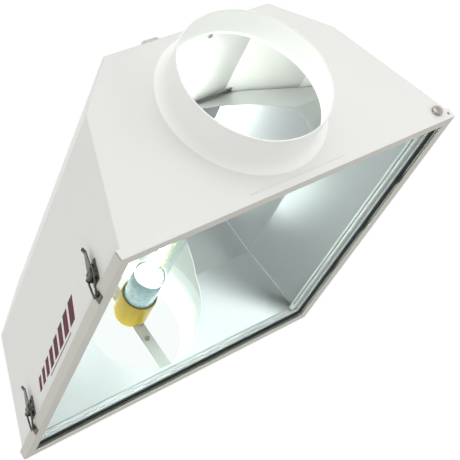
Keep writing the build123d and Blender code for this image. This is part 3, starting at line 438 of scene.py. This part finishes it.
def make_materials():
    white, shade = (0.82, 0.82, 0.79), (0.77, 0.77, 0.735)
    return {
        "hood_paint": powder_coat("hood_paint", white, shade),
        # door_paint is a darker, beige-grey copy of the hood's white: painted shade for the door, whose
        # underside faces away from the light
        "door_paint": powder_coat("door_paint", (0.66, 0.645, 0.58), (0.61, 0.595, 0.53),
                                  0.3 * MM, 0.2 * MM),
        # collar_paint is brighter than hood_paint though the collar is the same white: painted light for
        # its downward faces, which get less light
        "collar_paint": powder_coat("collar_paint", (0.96, 0.965, 0.935), (0.94, 0.95, 0.92)),
        "reflector": bright_sheet("reflector"),
        "glass": clear_glass("glass", 0.06, (0.97, 1.0, 0.99), 0.06),
        "gasket": rubber("gasket", (0.004, 0.005, 0.008)),
        "latch_steel": worn_metal("latch_steel", (0.17, 0.16, 0.14), (0.035, 0.033, 0.03), 0.28),
        "zinc_steel": worn_metal("zinc_steel", (0.55, 0.55, 0.53), (0.35, 0.35, 0.34), 0.4),
        "bolt_steel": worn_metal("bolt_steel", (0.50, 0.47, 0.42), (0.25, 0.23, 0.2), 0.3),
        "socket_ceramic": glazed("socket_ceramic", (0.52, 0.34, 0.002), (0.40, 0.26, 0.002), 0.4),
        "brass": worn_metal("brass", (0.75, 0.58, 0.28), (0.4, 0.28, 0.12), 0.3),
        "bulb_glass": clear_glass("bulb_glass", 0.5, (0.98, 1.0, 1.0), 0.05),
        "base_metal": worn_metal("base_metal", (0.68, 0.65, 0.58), (0.4, 0.37, 0.3), 0.28),
        "insulator": glazed("insulator", (0.03, 0.03, 0.035), (0.01, 0.01, 0.01)),
        "arc_ceramic": glowing("arc_ceramic", (0.92, 1.0, 1.0), 60.0),
        "lamp_wire": worn_metal("lamp_wire", (0.6, 0.6, 0.6), (0.35, 0.34, 0.33), 0.3),
        "gland_plastic": rubber("gland_plastic", (0.02, 0.02, 0.02)),
        "ring_white": glazed("ring_white", (0.86, 0.88, 0.86), (0.78, 0.80, 0.77), 0.4),
        "wire_warm": worn_metal("wire_warm", (0.55, 0.50, 0.22), (0.42, 0.36, 0.12), 0.35),
        "foam": rubber("foam", (0.86, 0.88, 0.88)),
        # grey paint of the side-lip strips: painted shade of the groove along the lips
        "groove_shade": powder_coat("groove_shade", (0.30, 0.32, 0.33), (0.26, 0.28, 0.29), 0.2 * MM, 0.1 * MM),
        "crease_highlight": crease_highlight_metal("crease_highlight"),
        "print": printed_glass("print"),
        "vinyl": vinyl("vinyl", (0.115, 0.008, 0.018)),
        # near-black skin for the gap and notch round the holder: painted shade
        "dark_gap": rubber("dark_gap", (0.015, 0.013, 0.01)),
    }


# ---------------------------------------------------------------- pieces
def add_mesh(name, verts, faces, material, body, slot, smooth=True):
    """A mesh piece that rides on a body."""
    mesh = bpy.data.meshes.new(name)
    mesh.from_pydata([tuple(v) for v in verts], [], faces)
    if smooth:
        mesh.shade_smooth()
    mesh.materials.append(MATERIALS[material])
    piece = bpy.data.objects.new(name, mesh)
    bpy.context.scene.collection.objects.link(piece)
    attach(piece, body)
    return piece


def add_wire(name, points, radius, material, body, closed=False):
    """A round wire through points that rides on a body."""
    data = bpy.data.curves.new(name, "CURVE")
    data.dimensions = "3D"
    data.bevel_depth, data.bevel_resolution, data.use_fill_caps = radius, 3, True
    spline = data.splines.new("POLY")
    spline.points.add(len(points) - 1)
    for point, place in zip(spline.points, points):
        point.co = (*place, 1.0)
    spline.use_cyclic_u = closed
    data.materials.append(MATERIALS[material])
    piece = bpy.data.objects.new(name, data)
    bpy.context.scene.collection.objects.link(piece)
    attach(piece, body)
    return piece


def lathe(profile, centre, steps=72, closed=False):
    """Vertices and faces of (distance along Y, radius) points turned about Y through centre."""
    verts, faces, rows = [], [], len(profile)
    for along, radius in profile:
        for k in range(steps):
            turn = tau * k / steps
            x, z = radius * cos(turn), radius * sin(turn)
            verts.append((centre[0] + x, centre[1] + along, centre[2] + z))
    for i in range(rows if closed else rows - 1):
        near, far = i * steps, (i + 1) % rows * steps
        for k in range(steps):
            after = (k + 1) % steps
            faces.append((near + k, near + after, far + after, far + k))
    return verts, faces


def ring_profile(half_length, half_thickness, radius):
    """An oval section about radius, for a ring."""
    turns = [tau * k / RING_STEPS for k in range(RING_STEPS)]
    return [(half_length * cos(t), radius + half_thickness * sin(t)) for t in turns]


def strip_faces(count):
    """Faces of a strip whose vertices come in pairs, one pair after another."""
    return [(2 * i, 2 * i + 1, 2 * i + 3, 2 * i + 2) for i in range(count)]


def make_crease_highlights():
    """Bright wires along the mitres and folds of the reflector, on its inner side: a painted highlight
    where the bends catch the light.
    """
    low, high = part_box("reflector_top")
    top_x, top_y, top_z = high[0], high[1], low[2]
    foot_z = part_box("reflector_end_rear")[0][2]
    foot = Vector((top_x + REFL_TOP_IN[0], top_y + REFL_TOP_IN[1], foot_z))
    fold = Vector((foot.x - REFL_FOLD_IN[0], foot.y - REFL_FOLD_IN[1], REFL_FOLD_Z))
    top = Vector((top_x, top_y, top_z))
    inward = Vector(CREASE_IN)
    foot, fold, top = foot - inward, fold - inward, top - inward
    for i, (sx, sy) in enumerate(((-1, -1), (-1, 1), (1, -1), (1, 1))):
        line = [(p.x * sx, p.y * sy, p.z) for p in (foot, fold, top)]
        add_wire(f"mitre_{i}", line, CREASE_R, "crease_highlight", "root")
    for sign, side in ((-1, "left"), (1, "right")):
        for name, p in (("fold", fold), ("top", top)):
            ends = [(sign * p.x, -p.y, p.z), (sign * p.x, p.y, p.z)]
            add_wire(f"crease_{name}_{side}", ends, CREASE_R * 0.6, "crease_highlight", "root")


def make_skirts():
    """Narrow reflector skirts at the two ends, which cover the hood's upturned lips."""
    for sign, end in ((-1, "front"), (1, "rear")):
        low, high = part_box(f"reflector_end_{end}")
        half = high[0] - SKIRT_INSET
        face = sign * (max(abs(low[1]), abs(high[1])) - SKIRT_INSET)
        top, foot = low[2] + 0.2 * MM, low[2] - SKIRT_DROP
        rows = [(face - sign * SKIRT_TURN, top), (face - sign * SKIRT_BEND, top - SKIRT_BEND),
                (face, top - SKIRT_TURN), (face, foot)]
        verts = [(x, y, z) for y, z in rows for x in (-half, half)]
        add_mesh(f"reflector_skirt_{end}", verts, strip_faces(len(rows) - 1), "reflector", "root",
                 "reflector")


def frame_strip(name, half_x, half_y, profile, material, body, slot):
    """A profile of (inward, height) points carried round a rectangle with mitred corners."""
    corners = [(-1, -1), (1, -1), (1, 1), (-1, 1), (-1, -1)]
    verts, faces, n = [], [], len(profile)
    for side in range(4):
        start = len(verts)
        verts.extend((sx * (half_x - d), sy * (half_y - d), z)
                     for sx, sy in corners[side:side + 2] for d, z in profile)
        for i in range(n):
            after = (i + 1) % n
            faces.append((start + i, start + n + i, start + n + after, start + after))
    return add_mesh(name, verts, faces, material, body, slot)


def make_gasket():
    """Black sealing lip on a pale foam backing, in the place of the plain CAD gasket."""
    low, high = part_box("door_gasket")
    half_x, half_y = high[0], high[1]
    split = low[2] + GASKET_LIP_H
    middle, half_h = (low[2] + split) / 2, (split - low[2]) / 2
    lip = [(GASKET_INSET, low[2]), (GASKET_INSET, split), (GASKET_W, split)]
    for k in range(GASKET_NOSE_STEPS + 1):
        turn = pi / 2 - pi * k / GASKET_NOSE_STEPS
        lip.append((GASKET_W - GASKET_NOSE + GASKET_NOSE * cos(turn), middle + half_h * sin(turn)))
    seal = frame_strip("gasket_lip", half_x, half_y, lip, "gasket", "door", "gasket")
    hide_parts("door_gasket")
    inner = GASKET_W - FOAM_INNER
    foam = [(FOAM_OUTER, split), (FOAM_OUTER, high[2]), (inner, high[2]), (inner, split)]
    frame_strip("gasket_foam", half_x, half_y, foam, "foam", "door", "gasket")


def make_rim_groove_shades():
    """A grey strip along each side lip of the hood: painted shade for the pressed groove there."""
    for sign, side in ((-1, "left"), (1, "right")):
        x = sign * (SIDE_FOOT[0] - LIP_X - GROOVE_SHADE_LIFT)
        z0, z1 = (SIDE_FOOT[1] + z for z in GROOVE_SHADE_Z)
        rows = ((GROOVE_SHADE_BEND, z0), (0, z0 + GROOVE_SHADE_BEND), (0, z1 - GROOVE_SHADE_BEND), (GROOVE_SHADE_BEND, z1))
        verts = [(x + sign * d, y, z) for d, z in rows for y in (-GROOVE_SHADE_HALF, GROOVE_SHADE_HALF)]
        add_mesh(f"rim_groove_shade_{side}", verts, strip_faces(len(rows) - 1), "groove_shade", "root",
                 "hood_paint")


def side_point(u, y, lift):
    """A point on the -X slope: u up the slope from its foot, lift out from the paint."""
    foot, fold = Vector((-SIDE_FOOT[0], 0, SIDE_FOOT[1])), Vector((-SIDE_FOLD[0], 0, SIDE_FOLD[1]))
    up = (fold - foot).normalized()
    out = Vector((-up.z, 0, up.x))
    place = foot + up * u + out * lift
    return Vector((place.x, y, place.z))


def make_side_mark():
    """Plain slanted bars that grow towards the front, over a thin line: a generic stand-in graphic."""
    verts, faces = [], []

    def bar(y0, y1, u0, u1, slant):
        n = len(verts)
        for lift in (MARK_LIFT, MARK_SINK):
            verts.extend(side_point(u, y + slant * (u - u0), lift)
                         for u, y in ((u0, y0), (u0, y1), (u1, y1), (u1, y0)))
        faces.append((n, n + 1, n + 2, n + 3))
        for a, b in ((0, 1), (1, 2), (2, 3), (3, 0)):
            faces.append((n + a, n + b, n + b + 4, n + a + 4))

    y = MARK_REAR_Y
    for i in range(MARK_BARS):
        grow = i / (MARK_BARS - 1)
        width, height = MARK_BAR_W * (0.8 + 0.7 * grow), MARK_HEIGHT * (0.62 + 0.38 * grow)
        bar(y - width, y, MARK_U, MARK_U + height, MARK_SLANT)
        y -= width + MARK_BAR_GAP
    bar(y + MARK_LINE_ENDS[0], MARK_REAR_Y - MARK_LINE_ENDS[1], MARK_U - MARK_LINE_U[0],
        MARK_U - MARK_LINE_U[1], 0)
    add_mesh("side_mark", verts, faces, "vinyl", "root", "hood_paint", smooth=False)


def make_bolt_faces():
    """Domed, cross-recessed faces on the two hinge bolts' heads."""
    low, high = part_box("hinge_bolts")
    for name, face, out in (("front", low[1], -1), ("rear", high[1], 1)):
        verts, faces = [], []
        for i in range(BOLT_ROWS + 1):
            r = BOLT_FACE_R * i / BOLT_ROWS
            for k in range(BOLT_STEPS):
                turn = tau * k / BOLT_STEPS + BOLT_TURN
                dx, dz = r * cos(turn), r * sin(turn)
                dome = BOLT_DOME * (1 - (r / BOLT_FACE_R) ** 2)
                arm = max(abs(dx), abs(dz)) if min(abs(dx), abs(dz)) < CROSS_W / 2 else CROSS_R
                sink = CROSS_DEPTH * min(1.0, max(0.0, (CROSS_R - arm) / CROSS_RAMP))
                verts.append((BOLT_X + dx, face + out * (BOLT_LIFT + dome - sink), BOLT_Z + dz))
        for i in range(BOLT_ROWS):
            for k in range(BOLT_STEPS):
                a, b = i * BOLT_STEPS + k, i * BOLT_STEPS + (k + 1) % BOLT_STEPS
                faces.append((a, b, b + BOLT_STEPS, a + BOLT_STEPS))
        add_mesh(f"bolt_face_{name}", verts, faces, "bolt_steel", "root", "bolt_steel")


def make_neck(axis_z, bulb_r, mouth):
    """The lamp's printed neck band, its white end ring and disc, and the loops of wire before it."""
    r = bulb_r + SKIN
    front = mouth - NECK_BAND
    band = [(0, r - 0.08 * MM), (0.2 * MM, r), (NECK_BAND * 0.5, r), (NECK_BAND + NECK_BAND_IN, r)]
    add_mesh("lamp_neck_band", *lathe(band, (0, front, axis_z)), "print", "lamp", "bulb_glass")
    ring = lathe(ring_profile(*NECK_RING, r + 0.15 * MM), (0, front - 0.6 * MM, axis_z), closed=True)
    add_mesh("lamp_neck_ring", *ring, "ring_white", "lamp", "lamp_wire")
    disc = [(0.0, SHIELD_BORE), (0.0, SHIELD_R - 0.8 * MM), (0.9 * MM, SHIELD_R),
            (1.2 * MM, SHIELD_R - 0.3 * MM), (0.8 * MM, SHIELD_BORE)]
    shield = lathe(disc, (0, front + 2 * MM, axis_z), closed=True)
    add_mesh("lamp_heat_shield", *shield, "ring_white", "lamp", "arc_ceramic")
    loops = []
    for k in range(LOOP_POINTS):
        turn = tau * k / LOOP_POINTS
        r = LOOP_R * (1 + 0.42 * sin(LOOPS * 2 * turn))
        out = LOOP_OUT * (0.25 + 0.55 * (1 + sin(LOOPS * turn + 0.6)) / 2)
        loops.append((r * cos(2 * turn), front - out, axis_z + r * sin(2 * turn)))
    add_wire("lamp_wire_loops", loops, LOOP_WIRE_R, "wire_warm", "lamp", closed=True)


def make_arc_coil(arc_low, arc_high, axis_z):
    """The wire coiled round the arc tube."""
    coil = []
    y0, y1 = arc_low[1] - COIL_PAST_ARC, arc_high[1] + COIL_PAST_ARC
    count = COIL_TURNS * COIL_STEPS
    for k in range(count + 1):
        turn = tau * k / COIL_STEPS
        coil.append((COIL_R * cos(turn), y0 + (y1 - y0) * k / count, axis_z + COIL_R * sin(turn)))
    add_wire("arc_coil", coil, COIL_WIRE_R, "wire_warm", "lamp")


def make_lamp_details():
    """What shows of the lamp and its holder beyond their plain CAD shapes."""
    arc_low, arc_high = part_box("arc_tube")
    env_low, env_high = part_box("lamp_envelope")
    socket_low, socket_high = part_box("socket_body")
    axis_z = (arc_low[2] + arc_high[2]) / 2
    bulb_r = (env_high[0] - env_low[0]) / 2
    mouth, back, socket_r = socket_low[1], socket_high[1], socket_high[0]
    make_neck(axis_z, bulb_r, mouth)
    # dark ring just outside the bulb at the holder's mouth: painted shade in the gap there
    gap = lathe(ring_profile(*MOUTH_RING, bulb_r + 0.85 * MM), (0, mouth + 0.6 * MM, axis_z), closed=True)
    add_mesh("socket_mouth_shade", *gap, "dark_gap", "root", "gasket")
    make_arc_coil(arc_low, arc_high, axis_z)
    # dark strip on the holder's back: painted shade of its notch
    verts, r = [], socket_r + SKIN
    for i in range(NOTCH_STEPS + 1):
        turn = NOTCH_TURN + NOTCH_SPAN * (i / NOTCH_STEPS - 0.5)
        for y in (back - NOTCH_LEN, back - 0.3 * MM):
            verts.append((r * cos(turn), y, axis_z + r * sin(turn)))
    add_mesh("socket_notch_shade", verts, strip_faces(NOTCH_STEPS), "dark_gap", "root", "gasket")


MATERIALS = make_materials()
make_camera()
make_stage()
for node, ob in NODES.items():
    ob.data.materials.clear()
    ob.data.materials.append(MATERIALS[OBJECT_SLOTS[node]])
make_crease_highlights()
make_skirts()
make_gasket()
make_rim_groove_shades()
make_side_mark()
make_bolt_faces()
make_lamp_details()
